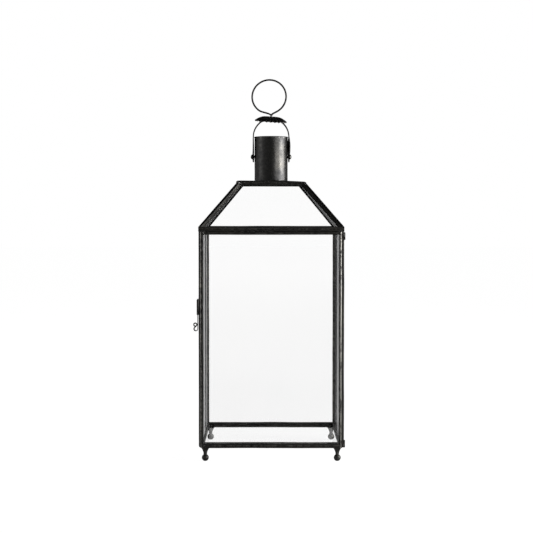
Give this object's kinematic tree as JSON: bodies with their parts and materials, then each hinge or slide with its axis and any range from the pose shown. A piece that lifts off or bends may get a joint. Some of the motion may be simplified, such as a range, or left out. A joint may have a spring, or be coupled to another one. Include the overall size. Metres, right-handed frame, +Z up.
{
  "type": "candle lantern",
  "caption": "Square glass candle lantern in a dark folded metal frame, with a hinged front, glass roof, chimney and folding bail with a finger ring.",
  "frame": {"origin": "centre of the footprint on the plane that the feet stand on", "axes": "+Z up, -Y towards the door, +X to the right as seen from the front"},
  "size_m": [0.1773, 0.1726, 0.4558],
  "materials": {
    "frame_metal": "blackened, satin, with worn edges",
    "sheet_metal": "blackened sheet, semi gloss",
    "hardware": "blackened, satin",
    "clear_glass": "clear float glass"
  },
  "bodies": {
    "lantern_body": {"foot_front_left": "frame_metal", "foot_front_right": "frame_metal", "foot_back_left": "frame_metal", "foot_back_right": "frame_metal", "base_rail_front": "frame_metal", "base_rail_back": "frame_metal", "base_rail_left": "frame_metal", "base_rail_right": "frame_metal", "base_pane": "clear_glass", "post_front_left": "frame_metal", "post_front_right": "frame_metal", "post_back_left": "frame_metal", "post_back_right": "frame_metal", "top_rail_front": "frame_metal", "top_rail_back": "frame_metal", "top_rail_left": "frame_metal", "top_rail_right": "frame_metal", "pane_left": "clear_glass", "pane_right": "clear_glass", "pane_back": "clear_glass", "eave_rail_front": "frame_metal", "eave_rail_back": "frame_metal", "eave_rail_left": "frame_metal", "eave_rail_right": "frame_metal", "hip_front_left": "frame_metal", "hip_front_right": "frame_metal", "hip_back_left": "frame_metal", "hip_back_right": "frame_metal", "roof_pane_front": "clear_glass", "roof_pane_back": "clear_glass", "roof_pane_left": "clear_glass", "roof_pane_right": "clear_glass", "crown_rail_front": "frame_metal", "crown_rail_back": "frame_metal", "crown_rail_left": "frame_metal", "crown_rail_right": "frame_metal", "crown_plate": "sheet_metal", "chimney": "sheet_metal", "rivet_left": "hardware", "rivet_right": "hardware", "hinge_body_bottom": "hardware", "hinge_body_top": "hardware", "hinge_pin_bottom": "hardware", "hinge_pin_top": "hardware", "latch_barrel": "hardware"},
    "door": {"door_stile_left": "frame_metal", "door_stile_right": "frame_metal", "door_rail_bottom": "frame_metal", "door_rail_top": "frame_metal", "door_pane": "clear_glass", "hinge_door_bottom": "hardware", "hinge_door_top": "hardware"},
    "bail_arch": {"bail": "frame_metal"},
    "shield": {"heat_shield": "frame_metal"},
    "ring": {"finger_ring": "frame_metal"},
    "latch": {"latch_wire": "hardware"}
  },
  "joints": [
    {"name": "door_hinge", "type": "hinge", "parent": "lantern_body", "child": "door", "pos_m": [0.0852, -0.07975, 0.14], "axis": [0, 0, 1], "range_deg": [0, 150]},
    {"name": "latch_turn", "type": "hinge", "parent": "lantern_body", "child": "latch", "pos_m": [-0.0856, -0.0863, 0.181], "axis": [0, 0, 1], "range_deg": [0, 180]},
    {"name": "bail_fold", "type": "hinge", "parent": "lantern_body", "child": "bail_arch", "pos_m": [0, 0, 0.3596], "axis": [1, 0, 0], "range_deg": [-90, 90]},
    {"name": "ring_swivel", "type": "hinge", "parent": "bail_arch", "child": "ring", "pos_m": [0, 0, 0.4086], "axis": [0, 0, 1], "continuous": true},
    {"name": "shield_swivel", "type": "hinge", "parent": "bail_arch", "child": "shield", "pos_m": [0, 0, 0.4086], "axis": [0, 0, 1], "continuous": true}
  ]
}
